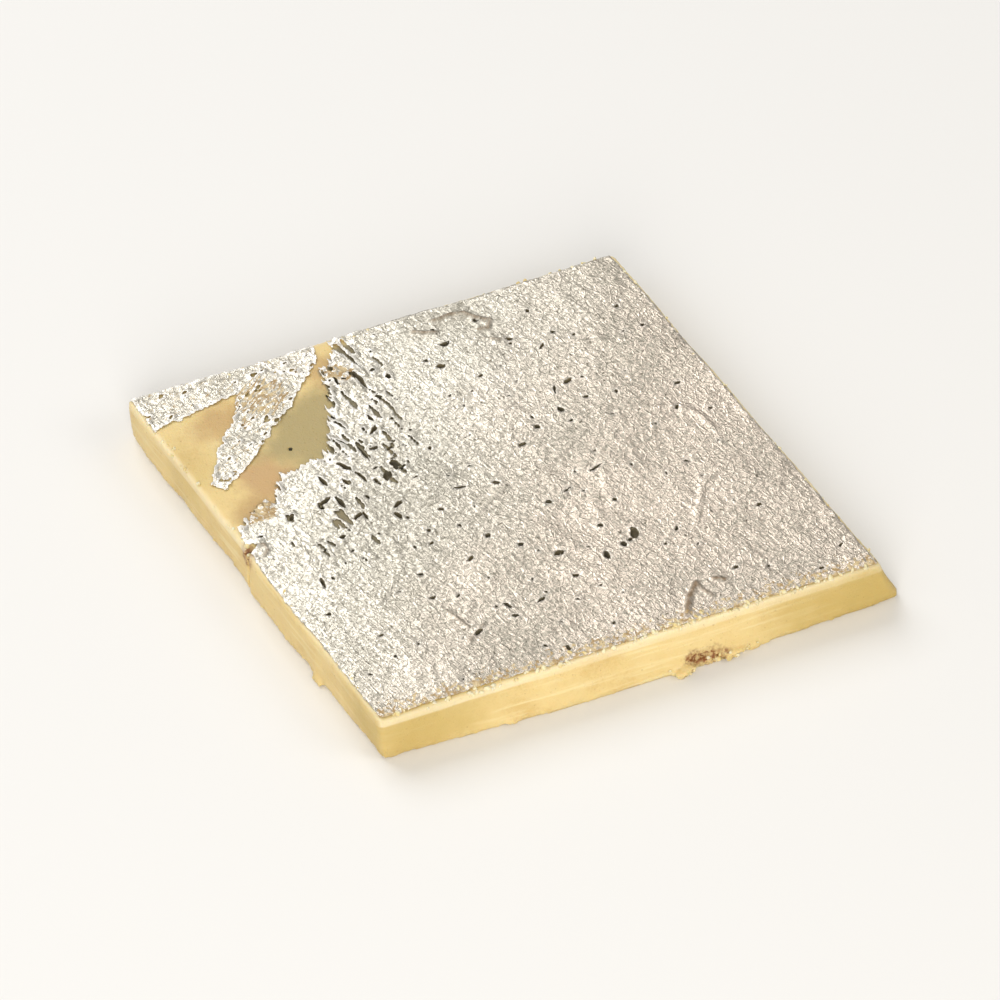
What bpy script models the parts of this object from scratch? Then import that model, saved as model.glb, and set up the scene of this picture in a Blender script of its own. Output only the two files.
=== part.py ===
"""Kaju barfi: one diamond-cut piece of cashew fudge under a torn silver leaf.

The piece lies flat on its underside. +X runs along the front cut, +Y to the back
cut, +Z up. Lengths are in metres, and plan positions are counted from the front
corner of the piece, before the finished piece is centred on the origin.
"""

import math

import bmesh
import bpy
from mathutils import Vector, noise

MM = 0.001

# Driving dimensions of the cut piece
WIDTH = 50.0 * MM
DEPTH = 49.1 * MM
SLANT = 8.0 * MM
THICKNESS = 5.2 * MM

# The slab's edges and faces
CORNER_ROUND = 0.6 * MM
TOP_ROUND = 0.35 * MM
FOOT_ROUND = 0.5 * MM
EDGE_FADE = 5.0 * MM
TOP_WAVE = 0.16 * MM
TOP_WAVELENGTH = 14.0 * MM
KNIFE_WAVE = 0.22 * MM
KNIFE_WAVELENGTH = 9.0 * MM
LIP_WAVE = 0.26 * MM
LIP_WAVELENGTH = 2.2 * MM
CELLS = 28

# How far each cut leans out at the foot: at its ends, and what its middle adds to that
FLARE_ENDS = {"front": 0.2 * MM, "left": -0.1 * MM, "back": 0.2 * MM, "right": 2.2 * MM}
FLARE_MIDDLE = {"front": 0.8 * MM, "left": 0.2 * MM, "back": 0.4 * MM, "right": -0.8 * MM}
# The left cut was made in two strokes, which leave a step between them
STROKE_STEP = 0.35 * MM
STROKE_END = 25.0 * MM

# The silver leaf: its own thickness, and the space kept between it and the slab
LEAF_THICKNESS = 0.2 * MM
LEAF_GAP = 0.3 * MM
LEAF_INSET = 0.25 * MM
LEAF_CRINKLE = 0.09 * MM
LEAF_CRINKLE_LENGTH = 3.0 * MM
LEAF_CELLS = 22
TEAR_JITTER = 0.35 * MM
TEAR_STEP = 0.9 * MM

# The tear that bares the left corner, from the left cut to the back cut
MAIN_TEAR = (
    (-6.0, 25.4), (-4.3, 26.8), (-2.1, 29.9), (0.2, 30.6), (2.5, 33.2), (5.2, 33.6), (6.8, 33.6),
    (8.5, 36.8), (10.1, 41.2), (10.2, 43.4), (12.4, 46.9), (13.2, 50.8),
)
# The scrap that stays on that corner: a strip along the back cut, and a tongue
CORNER_TEAR = (
    (-9.4, 43.2), (-4.0, 44.0), (-0.5, 44.8), (2.3, 45.4), (1.1, 42.7), (-2.2, 38.6), (-4.1, 34.6),
    (-3.1, 33.6), (-0.7, 35.2), (3.2, 38.8), (7.1, 42.5), (9.2, 44.6), (10.8, 46.6), (11.4, 50.8),
)

# Crumbs on the lower lips: the side, millimetres along it, height, radius
CRUMBS = (
    ("front", 29.2, 0.5, 0.8),
    ("front", 34.2, 0.6, 0.9),
    ("front", 36.3, 0.4, 0.5),
    ("front", 12.5, 0.4, 0.45),
    ("left", 12.0, 0.5, 0.6),
    ("right", 21.0, 0.6, 0.7),
    ("right", 24.0, 0.4, 0.5),
    ("back", 15.0, 0.5, 0.6),
    ("back", 37.0, 0.5, 0.75),
)
# Nicks that the knife left: the side, millimetres along it, height, and size
# along the side, into it and up it
NICKS = (
    ("left", 25.6, 3.0, (0.55, 0.8, 9.0)),
    ("front", 31.2, 1.1, (2.6, 0.9, 0.8)),
    ("right", 33.0, 3.6, (0.5, 0.6, 3.4)),
    ("back", 20.0, 1.4, (2.4, 0.8, 0.8)),
)


def plan(s, t):
    """The point at share s from left to right and t from front to back."""
    return Vector((s * WIDTH - t * SLANT, t * DEPTH, 0.0))


LEFT_OUTWARD = Vector((-DEPTH, -SLANT, 0.0)).normalized()
SIDE_LENGTH = math.hypot(SLANT, DEPTH)
OUTWARD = {
    "front": Vector((0.0, -1.0, 0.0)),
    "back": Vector((0.0, 1.0, 0.0)),
    "left": LEFT_OUTWARD,
    "right": -LEFT_OUTWARD,
}


def wave(length, wavelength, row):
    """A smooth random height from -1 to 1, at a length along a numbered row."""
    return noise.noise(Vector((length / wavelength, 7.3 * row, 0.5)))


def top_height(s, t):
    """Height of the rolled top, which dips and swells a little."""
    place = plan(s, t) / TOP_WAVELENGTH
    swell = noise.noise(place + Vector((0.0, 0.0, 3.1)))
    ripple = 0.4 * noise.noise(place * 2.7 + Vector((0.0, 0.0, 8.4)))
    return THICKNESS + TOP_WAVE * (swell + ripple)


def rim_inset(height):
    """How far a cut is rounded back at this height: only near the foot and the top."""
    if height < FOOT_ROUND:
        return FOOT_ROUND - math.sqrt(FOOT_ROUND**2 - (FOOT_ROUND - height) ** 2)
    below_top = THICKNESS - height
    if below_top < TOP_ROUND:
        return TOP_ROUND - math.sqrt(TOP_ROUND**2 - (TOP_ROUND - below_top) ** 2)
    return 0.0


def cut_offset(side, along, height):
    """How far a cut stands out from its straight line, at a share along it."""
    row = list(OUTWARD).index(side)
    length = along * SIDE_LENGTH
    lowness = 1.0 - height / THICKNESS
    flare = FLARE_ENDS[side] + FLARE_MIDDLE[side] * math.sin(math.pi * along)
    knife = KNIFE_WAVE * wave(length, KNIFE_WAVELENGTH, row)
    lip = LIP_WAVE * wave(length, LIP_WAVELENGTH, row + 4) * lowness**3
    step = STROKE_STEP if side == "left" and length < STROKE_END else 0.0
    return flare * lowness**1.4 + knife + lip + step - rim_inset(height)


def side_shares(s, t):
    """For each side: the share along it, and the distance from it."""
    return {
        "front": (s, t * DEPTH),
        "back": (s, (1.0 - t) * DEPTH),
        "left": (t, s * WIDTH),
        "right": (t, (1.0 - s) * WIDTH),
    }


def slab_point(s, t, height):
    """The point of the slab at shares s and t and at a height of the flat slab."""
    point = plan(s, t)
    for side, (along, distance) in side_shares(s, t).items():
        near = max(0.0, 1.0 - distance / EDGE_FADE) ** 2
        point += OUTWARD[side] * cut_offset(side, along, height) * near
    point.z = height * top_height(s, t) / THICKNESS
    return point


def side_point(side, length, height):
    """The point on a cut at a length along it and a height."""
    along = length / SIDE_LENGTH
    s, t = {
        "front": (along, 0.0),
        "back": (along, 1.0),
        "left": (0.0, along),
        "right": (1.0, along),
    }[side]
    return slab_point(s, t, height)


def clear_scene():
    for obj in list(bpy.data.objects):
        bpy.data.objects.remove(obj, do_unlink=True)


def collection(name):
    made = bpy.data.collections.new(name)
    bpy.context.scene.collection.children.link(made)
    return made


def finish(name, colour, roughness, metallic):
    """A plain finish in one colour."""
    material = bpy.data.materials.new(name)
    material.use_nodes = True
    shader = material.node_tree.nodes["Principled BSDF"]
    shader.inputs["Base Color"].default_value = (*colour, 1.0)
    shader.inputs["Roughness"].default_value = roughness
    shader.inputs["Metallic"].default_value = metallic
    return material


def move_to(obj, home):
    """Puts an object that an operator made in one collection only."""
    for old in list(obj.users_collection):
        old.objects.unlink(obj)
    home.objects.link(obj)


def object_from(bm, name, home):
    mesh = bpy.data.meshes.new(name)
    bm.to_mesh(mesh)
    bm.free()
    obj = bpy.data.objects.new(name, mesh)
    home.objects.link(obj)
    return obj


def apply_modifiers(obj):
    """Bakes the object's modifiers into its mesh."""
    graph = bpy.context.evaluated_depsgraph_get()
    baked = bpy.data.meshes.new_from_object(obj.evaluated_get(graph))
    obj.modifiers.clear()
    obj.data = baked


def boolean(obj, operation, others):
    modifier = obj.modifiers.new(operation.title(), "BOOLEAN")
    modifier.operation = operation
    modifier.solver = "EXACT"
    modifier.operand_type = "COLLECTION"
    modifier.collection = others
    return modifier


def slab_heights():
    """Heights at which the slab is cut into layers: closer at the two rims."""
    foot = [FOOT_ROUND * share for share in (0.3, 1.0)]
    middle = [THICKNESS * share for share in (0.28, 0.5, 0.72)]
    top = [THICKNESS - TOP_ROUND * share for share in (1.0, 0.3)]
    return foot + middle + top


def slice_box(bm, axis, position):
    """Cuts the whole box across one axis, leaving both sides."""
    normal = Vector((0.0, 0.0, 0.0))
    normal[axis] = 1.0
    bmesh.ops.bisect_plane(
        bm, geom=bm.verts[:] + bm.edges[:] + bm.faces[:], plane_co=normal * position, plane_no=normal
    )


def make_fudge_blank(home):
    """The cut slab alone: a box, rounded at its corners, sliced fine and shaped."""
    bm = bmesh.new()
    bmesh.ops.create_cube(bm, size=1.0)
    bmesh.ops.translate(bm, verts=bm.verts, vec=(0.5, 0.5, 0.5))
    uprights = [edge for edge in bm.edges if abs(edge.verts[0].co.z - edge.verts[1].co.z) > 0.5]
    bmesh.ops.bevel(bm, geom=uprights, offset=CORNER_ROUND / WIDTH, segments=3, affect="EDGES", profile=0.5)
    for cell in range(1, CELLS):
        slice_box(bm, 0, cell / CELLS)
        slice_box(bm, 1, cell / CELLS)
    for height in slab_heights():
        slice_box(bm, 2, height / THICKNESS)
    foot = [face for face in bm.faces if face.calc_center_median().z < 0.001]
    bmesh.ops.dissolve_faces(bm, faces=foot)
    for vertex in bm.verts:
        vertex.co = slab_point(vertex.co.x, vertex.co.y, vertex.co.z * THICKNESS)
    return object_from(bm, "cashew_fudge", home)


def make_crumb(home, number, side, length, height, radius):
    """One rough crumb, sunk in a lower lip and flat where it would pass the foot."""
    bm = bmesh.new()
    bmesh.ops.create_icosphere(bm, subdivisions=2, radius=1.0)
    outward = OUTWARD[side]
    along = Vector((outward.y, -outward.x, 0.0))
    middle = side_point(side, length, height)
    for vertex in bm.verts:
        rough = 1.0 + 0.9 * noise.noise(vertex.co * 1.1 + Vector((2.7 * number, 0.4, 0.0)))
        step = vertex.co * rough * radius
        vertex.co = middle + along * step.x * 1.5 + outward * step.y * 0.8
        vertex.co.z = max(vertex.co.z + step.z * 0.75, 0.05 * MM)
    return object_from(bm, f"crumb_{number}", home)


def add_crumbs(fudge):
    """Fuses the crumbs to the slab."""
    crumbs = collection("Crumbs")
    for number, (side, length, height, radius) in enumerate(CRUMBS):
        make_crumb(crumbs, number, side, length * MM, height * MM, radius * MM)
    boolean(fudge, "UNION", crumbs)
    apply_modifiers(fudge)
    for crumb in list(crumbs.objects):
        bpy.data.objects.remove(crumb, do_unlink=True)
    bpy.data.collections.remove(crumbs)


def make_nick(home, number, side, length, height, size):
    """A pointed cutter that leaves a nick in a cut."""
    bm = bmesh.new()
    bmesh.ops.create_icosphere(bm, subdivisions=2, radius=1.0)
    outward = OUTWARD[side]
    along = Vector((outward.y, -outward.x, 0.0))
    middle = side_point(side, length, height)
    for vertex in bm.verts:
        rough = 1.0 + 0.3 * noise.noise(vertex.co * 1.7 + Vector((0.0, number, 0.0)))
        step = Vector(vertex.co) * rough
        vertex.co = middle
        vertex.co += along * step.x * size[0] / 2 + outward * step.y * size[1]
        vertex.co += Vector((0.0, 0.0, step.z * size[2] / 2))
    cutter = object_from(bm, f"nick_{number}", home)
    cutter.hide_render = True
    cutter.display_type = "WIRE"
    return cutter


def cut_nicks(fudge, cutters):
    for number, (side, length, height, size) in enumerate(NICKS):
        make_nick(cutters, number, side, length * MM, height * MM, [value * MM for value in size])
    boolean(fudge, "DIFFERENCE", cutters)


def torn_line(points):
    """The points of a tear: straight stretches broken into ragged short steps."""
    ragged = []
    for number, (first, last) in enumerate(zip(points, points[1:])):
        start = Vector((*first, 0.0)) * MM
        run = Vector((*last, 0.0)) * MM - start
        sideways = Vector((-run.y, run.x, 0.0)).normalized()
        steps = max(1, round(run.length / TEAR_STEP))
        for step in range(steps):
            jitter = TEAR_JITTER * wave(step + 0.37, 1.0, number + 11) if step else 0.0
            ragged.append(start + run * step / steps + sideways * jitter)
    ragged.append(Vector((*points[-1], 0.0)) * MM)
    return ragged


def keep_block(name, outline, home):
    """An upright block over a plan outline: what lies inside it is kept of the leaf."""
    curve = bpy.data.curves.new(name, "CURVE")
    curve.dimensions = "2D"
    curve.fill_mode = "BOTH"
    curve.extrude = THICKNESS
    spline = curve.splines.new("POLY")
    spline.points.add(len(outline) - 1)
    for point, place in zip(spline.points, outline):
        point.co = (place.x, place.y, 0.0, 1.0)
    spline.use_cyclic_u = True
    drawn = bpy.data.objects.new(name, curve)
    drawn.location.z = THICKNESS
    home.objects.link(drawn)
    graph = bpy.context.evaluated_depsgraph_get()
    mesh = bpy.data.meshes.new_from_object(drawn.evaluated_get(graph))
    bm = bmesh.new()
    bm.from_mesh(mesh)
    bmesh.ops.remove_doubles(bm, verts=bm.verts, dist=0.01 * MM)
    bm.to_mesh(mesh)
    bm.free()
    block = bpy.data.objects.new(f"{name}_block", mesh)
    block.matrix_world = drawn.matrix_world
    home.objects.link(block)
    bpy.data.objects.remove(drawn, do_unlink=True)
    block.hide_render = True
    block.display_type = "WIRE"
    return block


def leaf_point(s, t):
    """The underside of the leaf over shares s and t: crinkled, and ragged at the cuts."""
    point = slab_point(s, t, THICKNESS)
    for number, (side, (along, distance)) in enumerate(side_shares(s, t).items()):
        if distance < 0.5 * WIDTH / LEAF_CELLS:
            ragged = 1.0 + 0.7 * wave(along * SIDE_LENGTH, LIP_WAVELENGTH, number + 40)
            point -= OUTWARD[side] * LEAF_INSET * ragged
    crinkle = noise.noise(Vector((point.x, point.y, 0.0)) / LEAF_CRINKLE_LENGTH)
    point.z += LEAF_GAP + LEAF_CRINKLE * (crinkle + 1.0) / 2
    return point


def make_leaf(name, outline, home, cutters):
    """One sheet of the silver leaf: the whole top's sheet, kept inside an outline."""
    bpy.ops.mesh.primitive_grid_add(x_subdivisions=LEAF_CELLS, y_subdivisions=LEAF_CELLS, size=1.0)
    leaf = bpy.context.object
    leaf.name = name
    leaf.data.name = name
    move_to(leaf, home)
    for vertex in leaf.data.vertices:
        vertex.co = leaf_point(vertex.co.x + 0.5, vertex.co.y + 0.5)
    split = leaf.modifiers.new("Triangles", "TRIANGULATE")
    split.quad_method = "FIXED"
    sheet = leaf.modifiers.new("Leaf thickness", "SOLIDIFY")
    sheet.thickness = LEAF_THICKNESS
    sheet.offset = 1.0
    keep = leaf.modifiers.new("Torn outline", "BOOLEAN")
    keep.operation = "INTERSECT"
    keep.solver = "EXACT"
    keep.object = keep_block(name, outline, cutters)
    return leaf


def main_leaf_outline():
    """Right of the tear, and past the slab on the other sides."""
    far = 2.0 * MM
    corners = (plan(1.0, 1.0), plan(1.0, 0.0), plan(0.0, 0.0))
    beyond = (Vector((far, far, 0.0)), Vector((far, -far, 0.0)), Vector((-far, -far, 0.0)))
    return torn_line(MAIN_TEAR) + [corner + step for corner, step in zip(corners, beyond)]


def corner_leaf_outline():
    """The scrap's tear, closed round the slab's left corner."""
    return torn_line(CORNER_TEAR) + [plan(0.0, 1.0) + Vector((-2.5 * MM, 1.7 * MM, 0.0))]


def centre_on_origin(objects):
    """Moves the whole piece so that the middle of its foot is at the origin."""
    graph = bpy.context.evaluated_depsgraph_get()
    points = []
    for obj in objects:
        baked = obj.evaluated_get(graph).to_mesh()
        points += [obj.matrix_world @ vertex.co for vertex in baked.vertices]
    middle = Vector(
        [(min(p[axis] for p in points) + max(p[axis] for p in points)) / 2 for axis in (0, 1)] + [0.0]
    )
    for obj in bpy.data.objects:
        if obj.parent is None:
            obj.location -= middle


def build():
    clear_scene()
    piece = collection("Kaju barfi")
    nick_cutters = collection("Nick cutters")
    leaf_cutters = collection("Leaf outlines")
    fudge_finish = finish("Cashew fudge", (0.78, 0.57, 0.27), 0.55, 0.0)
    leaf_finish = finish("Silver leaf", (0.86, 0.83, 0.77), 0.32, 1.0)

    fudge = make_fudge_blank(piece)
    add_crumbs(fudge)
    cut_nicks(fudge, nick_cutters)
    leaves = [
        make_leaf("silver_leaf", main_leaf_outline(), piece, leaf_cutters),
        make_leaf("silver_leaf_scrap", corner_leaf_outline(), piece, leaf_cutters),
    ]

    for obj, material in [(fudge, fudge_finish)] + [(leaf, leaf_finish) for leaf in leaves]:
        obj.data.materials.clear()
        obj.data.materials.append(material)
        obj.data.shade_smooth()
        obj.data.set_sharp_from_angle(angle=math.radians(40.0))
    bpy.context.view_layer.update()
    centre_on_origin([fudge, *leaves])


build()
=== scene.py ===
# %% [markdown]
# # Kaju barfi: a cut piece of cashew fudge under silver leaf
#
# A flat slab of pale cashew paste is rolled out, covered with beaten silver leaf and cut
# into diamonds with a knife. Here one corner has lost some of its leaf. The solids loaded
# below already have the right size and place, so this lesson only gives them their looks:
# the grain of the paste, the crinkles and holes of the leaf, and light to see them by.

import math
import random

import bpy
from mathutils import Matrix, Vector
from mathutils import noise as field
from mathutils.bvhtree import BVHTree
from mathutils.geometry import intersect_point_line
from mathutils.kdtree import KDTree


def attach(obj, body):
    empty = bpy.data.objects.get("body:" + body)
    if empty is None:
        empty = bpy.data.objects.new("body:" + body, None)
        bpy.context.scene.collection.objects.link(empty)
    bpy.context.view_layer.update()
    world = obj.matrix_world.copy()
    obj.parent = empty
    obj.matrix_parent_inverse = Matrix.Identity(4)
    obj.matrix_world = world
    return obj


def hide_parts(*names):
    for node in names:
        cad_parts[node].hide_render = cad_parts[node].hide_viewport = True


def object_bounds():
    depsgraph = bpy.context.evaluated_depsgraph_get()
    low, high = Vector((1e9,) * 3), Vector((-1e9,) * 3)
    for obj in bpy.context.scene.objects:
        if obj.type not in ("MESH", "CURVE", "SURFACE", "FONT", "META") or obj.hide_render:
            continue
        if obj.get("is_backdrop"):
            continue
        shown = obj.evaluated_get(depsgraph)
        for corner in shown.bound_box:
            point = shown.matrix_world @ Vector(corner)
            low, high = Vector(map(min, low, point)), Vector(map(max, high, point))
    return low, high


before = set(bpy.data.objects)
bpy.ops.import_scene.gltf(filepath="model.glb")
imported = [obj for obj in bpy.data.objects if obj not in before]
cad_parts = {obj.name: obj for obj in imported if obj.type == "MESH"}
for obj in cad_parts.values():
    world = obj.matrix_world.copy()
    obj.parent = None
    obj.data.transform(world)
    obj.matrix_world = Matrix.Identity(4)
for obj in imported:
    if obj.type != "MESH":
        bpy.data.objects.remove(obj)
CAD_LOW, CAD_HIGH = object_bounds()
MM = 0.001
print("solids:", sorted(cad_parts), "size in mm:", [round(v / MM, 1) for v in CAD_HIGH - CAD_LOW])

# %% [markdown]
# ## Helpers for working as by hand
#
# In the window one clicks a piece, adds a modifier, sets it and applies it. An operator
# acts on everything selected, so each helper first leaves just one piece selected. The
# same short calls then build every piece, which keeps the cells about shape alone.


# %% Select, copy and apply
def use(piece):
    """Makes one piece the only selected and the active one."""
    bpy.ops.object.select_all(action="DESELECT")
    piece.select_set(True)
    bpy.context.view_layer.objects.active = piece


def shape(piece, kind, **settings):
    """Adds a modifier, sets it and applies it."""
    use(piece)
    bpy.ops.object.modifier_add(type=kind)
    modifier = piece.modifiers[-1]
    for name, value in settings.items():
        setattr(modifier, name, value)
    bpy.ops.object.modifier_apply(modifier=modifier.name)


def copy_of(solid, name):
    """A copy of a solid with its own mesh, its loose triangles joined into one skin."""
    piece = solid.copy()
    piece.data = solid.data.copy()
    piece.parent = None
    piece.name = name
    piece.data.name = name
    for key in list(piece.keys()):
        del piece[key]
    bpy.context.scene.collection.objects.link(piece)
    piece.data.materials.clear()
    use(piece)
    bpy.ops.object.mode_set(mode="EDIT")
    bpy.ops.mesh.select_all(action="SELECT")
    bpy.ops.mesh.remove_doubles(threshold=0.001 * MM)
    bpy.ops.object.mode_set(mode="OBJECT")
    return piece


def pick_faces(piece, test):
    """Selects the faces that pass a test, and nothing else."""
    use(piece)
    bpy.ops.object.mode_set(mode="EDIT")
    bpy.ops.mesh.select_mode(type="FACE")
    bpy.ops.mesh.select_all(action="DESELECT")
    bpy.ops.object.mode_set(mode="OBJECT")
    for face in piece.data.polygons:
        face.select = test(face)


def edit(piece, *steps):
    """Runs operators in edit mode on what is selected."""
    use(piece)
    bpy.ops.object.mode_set(mode="EDIT")
    for step in steps:
        step()
    bpy.ops.object.mode_set(mode="OBJECT")


def weigh(piece, name, weight):
    """A vertex group whose weight is worked out from each vertex."""
    group = piece.vertex_groups.new(name=name)
    for vertex in piece.data.vertices:
        amount = weight(vertex)
        if amount > 0.0:
            group.add([vertex.index], min(amount, 1.0), "REPLACE")
    return name


def triangles(piece):
    piece.data.calc_loop_triangles()
    return len(piece.data.loop_triangles)


# %% [markdown]
# ## Where things are on the piece
#
# The marks on the real piece are easiest to give as on a map: so many millimetres along
# the front cut and so many back from it. The map's corner is the slab's front corner,
# found as the point of the solid's top that lies furthest that way.


# %% The map of the top
TOP_BAND = 0.5 * MM
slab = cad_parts["cashew_fudge"]
top_height = max(vertex.co.z for vertex in slab.data.vertices)


def corner(direction):
    """The top's point that lies furthest in a direction."""
    rim = [v.co for v in slab.data.vertices if v.co.z > top_height - TOP_BAND]
    return max(rim, key=lambda point: point.dot(direction))


front = corner(Vector((-1.0, -3.0, 0.0)))
right = corner(Vector((3.0, -1.0, 0.0)))
left = corner(Vector((-3.0, 1.0, 0.0)))
back = corner(Vector((1.0, 3.0, 0.0)))


def at(x, y, z=0.0):
    """A place on the map, in millimetres from the front corner, and its height."""
    return Vector((front.x + x * MM, front.y + y * MM, z))


def inland(point):
    """How far a point is from the nearest of the slab's four sides, seen from above."""
    sides = ((front, right), (right, back), (back, left), (left, front))
    return min((end - start).normalized().cross(point - start).z for start, end in sides)


print("sides in mm:", round((right - front).length / MM, 1), round((left - front).length / MM, 1))

# %% [markdown]
# ## Relief textures
#
# Paste and foil both get their small relief from Displace modifiers, which push the skin
# in and out by a procedural texture. Unlike a bump map this is real shape, so it casts
# shadows and stays in the mesh. Only what is finer than the mesh is left to bump.


# %% Relief texture helpers
def clouds(name, size, depth=2, hard=False):
    texture = bpy.data.textures.new(name, "CLOUDS")
    texture.noise_scale = size
    texture.noise_depth = depth
    texture.noise_type = "HARD_NOISE" if hard else "SOFT_NOISE"
    return texture


def displace(piece, texture, height, middle=0.5, direction="NORMAL", group=""):
    shape(
        piece,
        "DISPLACE",
        texture=texture,
        strength=height,
        mid_level=middle,
        direction=direction,
        vertex_group=group,
        texture_coords="LOCAL",
    )


# %% [markdown]
# ## Shader helpers
#
# A finish is a small web of nodes. Written out by hand it hides its own idea, so two
# short helpers add a node with its values and join sockets. Every pattern reads Object
# coordinates turned into millimetres, so its scale is simply repeats to the millimetre.


# %% Node helpers
def add(tree, kind, values=(), **settings):
    """A node with its settings, and values for its inputs by name or number."""
    made = tree.nodes.new(kind)
    for name, value in settings.items():
        setattr(made, name, value)
    for key, value in dict(values).items():
        made.inputs[key].default_value = value
    return made


def join(tree, output, *targets):
    for target in targets:
        tree.links.new(output, target)


def in_millimetres(tree):
    """Object coordinates in millimetres."""
    place = add(tree, "ShaderNodeTexCoord")
    scaled = add(tree, "ShaderNodeVectorMath", {1: (1000.0, 1000.0, 1000.0)}, operation="MULTIPLY")
    join(tree, place.outputs["Object"], scaled.inputs[0])
    return scaled.outputs[0]


def noise(tree, place, scale, detail=3.0, rough=0.55, distortion=0.0):
    made = add(
        tree,
        "ShaderNodeTexNoise",
        {"Scale": scale, "Detail": detail, "Roughness": rough, "Distortion": distortion},
    )
    join(tree, place, made.inputs["Vector"])
    return made.outputs["Fac"]


def cells(tree, place, scale, feature="F1"):
    made = add(tree, "ShaderNodeTexVoronoi", {"Scale": scale}, feature=feature)
    join(tree, place, made.inputs["Vector"])
    return made.outputs["Distance"]


def ramp(tree, value, low, high, start=0.0, end=1.0):
    """Runs smoothly from start at low to end at high."""
    made = add(
        tree,
        "ShaderNodeMapRange",
        {"From Min": low, "From Max": high, "To Min": start, "To Max": end},
        interpolation_type="SMOOTHSTEP",
    )
    join(tree, value, made.inputs["Value"])
    return made.outputs["Result"]


def maths(tree, operation, first, second):
    made = add(tree, "ShaderNodeMath", operation=operation)
    for socket, value in zip(made.inputs, (first, second)):
        if isinstance(value, float):
            socket.default_value = value
        else:
            join(tree, value, socket)
    return made.outputs[0]


def stretched(tree, place, size, turn=0.0):
    """Coordinates for a pattern stretched to a size, and turned on the map."""
    made = add(tree, "ShaderNodeMapping", {"Scale": size}, vector_type="TEXTURE")
    made.inputs["Rotation"].default_value[2] = math.radians(turn)
    join(tree, place, made.inputs["Vector"])
    return made.outputs["Vector"]


def spot(tree, place, centre, inner, outer):
    """A round mask about a place on the map: 1 inside, 0 outside, its edge uneven."""
    gap = add(tree, "ShaderNodeVectorMath", {1: at(*centre[:2], centre[2] * MM) / MM}, operation="DISTANCE")
    join(tree, place, gap.inputs[0])
    uneven = maths(tree, "MULTIPLY", noise(tree, place, 1.6 / outer, 3.0, 0.6), 1.2 * outer)
    reach = maths(tree, "ADD", gap.outputs["Value"], uneven)
    return ramp(tree, reach, inner + 0.6 * outer, 1.6 * outer, 1.0, 0.0)


def blend(tree, amount, first, second):
    """Mixes two colours by an amount."""
    made = add(tree, "ShaderNodeMix", data_type="RGBA")
    join(tree, amount, made.inputs["Factor"])
    for socket, value in ((made.inputs["A"], first), (made.inputs["B"], second)):
        colour_socket = [s for s in made.inputs if s.name == socket.name and s.type == "RGBA"][0]
        if isinstance(value, tuple):
            colour_socket.default_value = (*value, 1.0)
        else:
            join(tree, value, colour_socket)
    return [s for s in made.outputs if s.type == "RGBA"][0]


def group(name, inputs, outputs):
    """An empty node group with named sockets."""
    tree = bpy.data.node_groups.new(name, "ShaderNodeTree")
    for label, value in inputs.items():
        socket = tree.interface.new_socket(label, in_out="INPUT", socket_type="NodeSocketFloat")
        socket.default_value = value
    for label in outputs:
        tree.interface.new_socket(label, in_out="OUTPUT", socket_type="NodeSocketFloat")
    return tree, tree.nodes.new("NodeGroupInput"), tree.nodes.new("NodeGroupOutput")


def finish(name, roughness, metallic=0.0, **values):
    """A new material, its web of nodes and its shader."""
    material = bpy.data.materials.new(name)
    material.use_nodes = True
    tree = material.node_tree
    shader = tree.nodes["Principled BSDF"]
    shader.inputs["Roughness"].default_value = roughness
    shader.inputs["Metallic"].default_value = metallic
    for label, value in values.items():
        shader.inputs[label.replace("_", " ")].default_value = value
    return material, tree, shader


def use_group(tree, pattern, **values):
    made = add(tree, "ShaderNodeGroup", node_tree=pattern)
    for label, value in values.items():
        made.inputs[label.replace("_", " ")].default_value = value
    return made


def bump(tree, shader, height, depth, strength=1.0):
    made = add(tree, "ShaderNodeBump", {"Distance": depth, "Strength": strength})
    join(tree, height, made.inputs["Height"])
    join(tree, made.outputs["Normal"], shader.inputs["Normal"])


# %% [markdown]
# ## Two shared patterns
#
# Paste grain and foil crinkle are each used by more than one finish, so each is a node
# group. Grain is fine noise with pores, as in ground nuts. Crinkle is fine noise crossed
# by two stretched ones, with the sharp borders of Voronoi cells for creases.

# %% The grain group
grain, grain_in, grain_out = group(
    "Paste grain", {"Grain": 4.0, "Pores": 1.7}, ("Height", "Mottle", "Flecks", "Streaks")
)
place = in_millimetres(grain)
fine = add(grain, "ShaderNodeTexNoise", {"Detail": 5.0, "Roughness": 0.65})
join(grain, place, fine.inputs["Vector"])
join(grain, grain_in.outputs["Grain"], fine.inputs["Scale"])
pore = add(grain, "ShaderNodeTexVoronoi", {"Randomness": 1.0})
join(grain, place, pore.inputs["Vector"])
join(grain, grain_in.outputs["Pores"], pore.inputs["Scale"])
pore_mask = ramp(grain, pore.outputs["Distance"], 0.10, 0.24, 1.0, 0.0)
height = maths(grain, "SUBTRACT", fine.outputs["Fac"], maths(grain, "MULTIPLY", pore_mask, 0.5))
join(grain, height, grain_out.inputs["Height"])
broad = noise(grain, place, 0.22, 4.0, 0.6)
fine_share = maths(grain, "MULTIPLY", fine.outputs["Fac"], 0.3)
mottle = maths(grain, "ADD", maths(grain, "MULTIPLY", broad, 0.7), fine_share)
join(grain, ramp(grain, mottle, 0.34, 0.66), grain_out.inputs["Mottle"])
join(grain, ramp(grain, cells(grain, place, 0.9), 0.05, 0.11, 1.0, 0.0), grain_out.inputs["Flecks"])
drag = noise(grain, stretched(grain, place, (9.0, 9.0, 0.55)), 1.0, 4.0, 0.6)
join(grain, drag, grain_out.inputs["Streaks"])

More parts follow.
